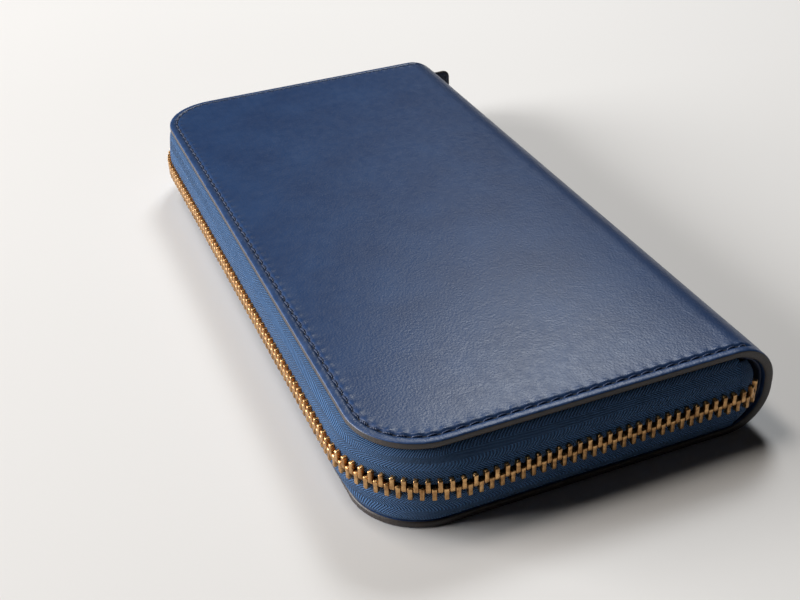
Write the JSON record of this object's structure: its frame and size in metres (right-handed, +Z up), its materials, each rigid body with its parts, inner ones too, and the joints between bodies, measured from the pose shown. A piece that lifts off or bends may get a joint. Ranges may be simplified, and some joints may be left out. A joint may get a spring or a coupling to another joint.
{
  "type": "zip around wallet",
  "caption": "Long leather wallet with a metal zip round three sides, a folded spine, card slots, bill dividers and a zipped coin pocket inside.",
  "frame": {"origin": "middle of the back cover's outer face, which the closed wallet lies on; the cover's box is centred on it along X and, with the spine, along Y", "axes": "+X along the length, -Y the long zip side, +Y the folded spine, +Z up through the closed wallet"},
  "size_m": [0.2053, 0.1104, 0.024],
  "materials": {
    "cover_leather": "smooth navy full grain leather, semi gloss, with painted cut edges",
    "lining_leather": "thin navy lining leather, satin",
    "inner_cloth": "fine navy lining cloth",
    "board": "bonded leather board",
    "zip_tape": "blue herringbone woven tape",
    "zip_brass": "antique brass, satin",
    "thread": "waxed navy thread"
  },
  "bodies": {
    "back_half": {"back_cover": "cover_leather", "back_board": "board", "back_lining": "lining_leather", "back_card_panel": "lining_leather", "back_card_slots": "lining_leather", "back_stitching": "thread", "lower_zip_tape": "zip_tape", "lower_zip_teeth": "zip_brass", "lower_top_stop": "zip_brass", "zip_bottom_stop": "zip_brass", "spine_leather": "cover_leather", "spine_lining": "lining_leather", "left_gusset": "inner_cloth", "right_gusset": "inner_cloth"},
    "front_half": {"front_cover": "cover_leather", "front_board": "board", "front_lining": "lining_leather", "front_card_panel": "lining_leather", "front_card_slots": "lining_leather", "front_stitching": "thread", "upper_zip_tape": "zip_tape", "upper_zip_teeth": "zip_brass", "upper_top_stop": "zip_brass"},
    "back_divider": {"back_divider": "inner_cloth"},
    "front_divider": {"front_divider": "inner_cloth"},
    "coin_pocket": {"coin_pocket_back": "lining_leather", "coin_pocket_front": "lining_leather", "coin_pocket_binding": "lining_leather", "coin_tape_back": "zip_tape", "coin_tape_front": "zip_tape", "coin_teeth_back": "zip_brass", "coin_teeth_front": "zip_brass", "coin_zip_stops": "zip_brass"},
    "main_slider": {"main_slider": "zip_brass", "main_slider_bridge": "zip_brass"},
    "main_pull": {"pull_ring": "zip_brass", "pull_tab": "cover_leather"},
    "coin_slider": {"coin_slider": "zip_brass", "coin_slider_bridge": "zip_brass"},
    "coin_pull": {"coin_pull": "zip_brass"}
  },
  "joints": [
    {"name": "front_opening", "type": "hinge", "parent": "back_half", "child": "front_half", "pos_m": [0, 0.0485, 0.012], "axis": [-1, 0, 0], "range_deg": [0, 60], "deforming": ["spine_leather", "spine_lining", "left_gusset", "right_gusset"]},
    {"name": "back_divider_fold", "type": "hinge", "parent": "back_half", "child": "back_divider", "pos_m": [0, 0.0485, 0.012], "axis": [-1, 0, 0], "range_deg": [0, 12]},
    {"name": "coin_pocket_fold", "type": "hinge", "parent": "back_half", "child": "coin_pocket", "pos_m": [0, 0.0485, 0.012], "axis": [-1, 0, 0], "range_deg": [0, 30]},
    {"name": "front_divider_fold", "type": "hinge", "parent": "back_half", "child": "front_divider", "pos_m": [0, 0.0485, 0.012], "axis": [-1, 0, 0], "range_deg": [0, 48]},
    {"name": "main_zip", "type": "slide", "parent": "back_half", "child": "main_slider", "axis": [0, -1, 0], "range_m": [0, 0.0525], "deforming": ["lower_zip_teeth", "upper_zip_teeth"]},
    {"name": "main_pull_swing", "type": "hinge", "parent": "main_slider", "child": "main_pull", "pos_m": [-0.1028, 0.0331, 0.012], "axis": [0, 0, 1], "range_deg": [0, 170]},
    {"name": "coin_zip", "type": "slide", "parent": "coin_pocket", "child": "coin_slider", "axis": [1, 0, 0], "range_m": [0, 0.136], "deforming": ["coin_teeth_back", "coin_teeth_front"]},
    {"name": "coin_pull_swing", "type": "hinge", "parent": "coin_slider", "child": "coin_pull", "pos_m": [-0.0711, -0.033, 0.012], "axis": [0, 0, 1], "range_deg": [0, 170]}
  ],
  "couplings": [
    {"joint": "back_divider_fold", "follows": "front_opening", "ratio": 0.2},
    {"joint": "coin_pocket_fold", "follows": "front_opening", "ratio": 0.5},
    {"joint": "front_divider_fold", "follows": "front_opening", "ratio": 0.8}
  ]
}
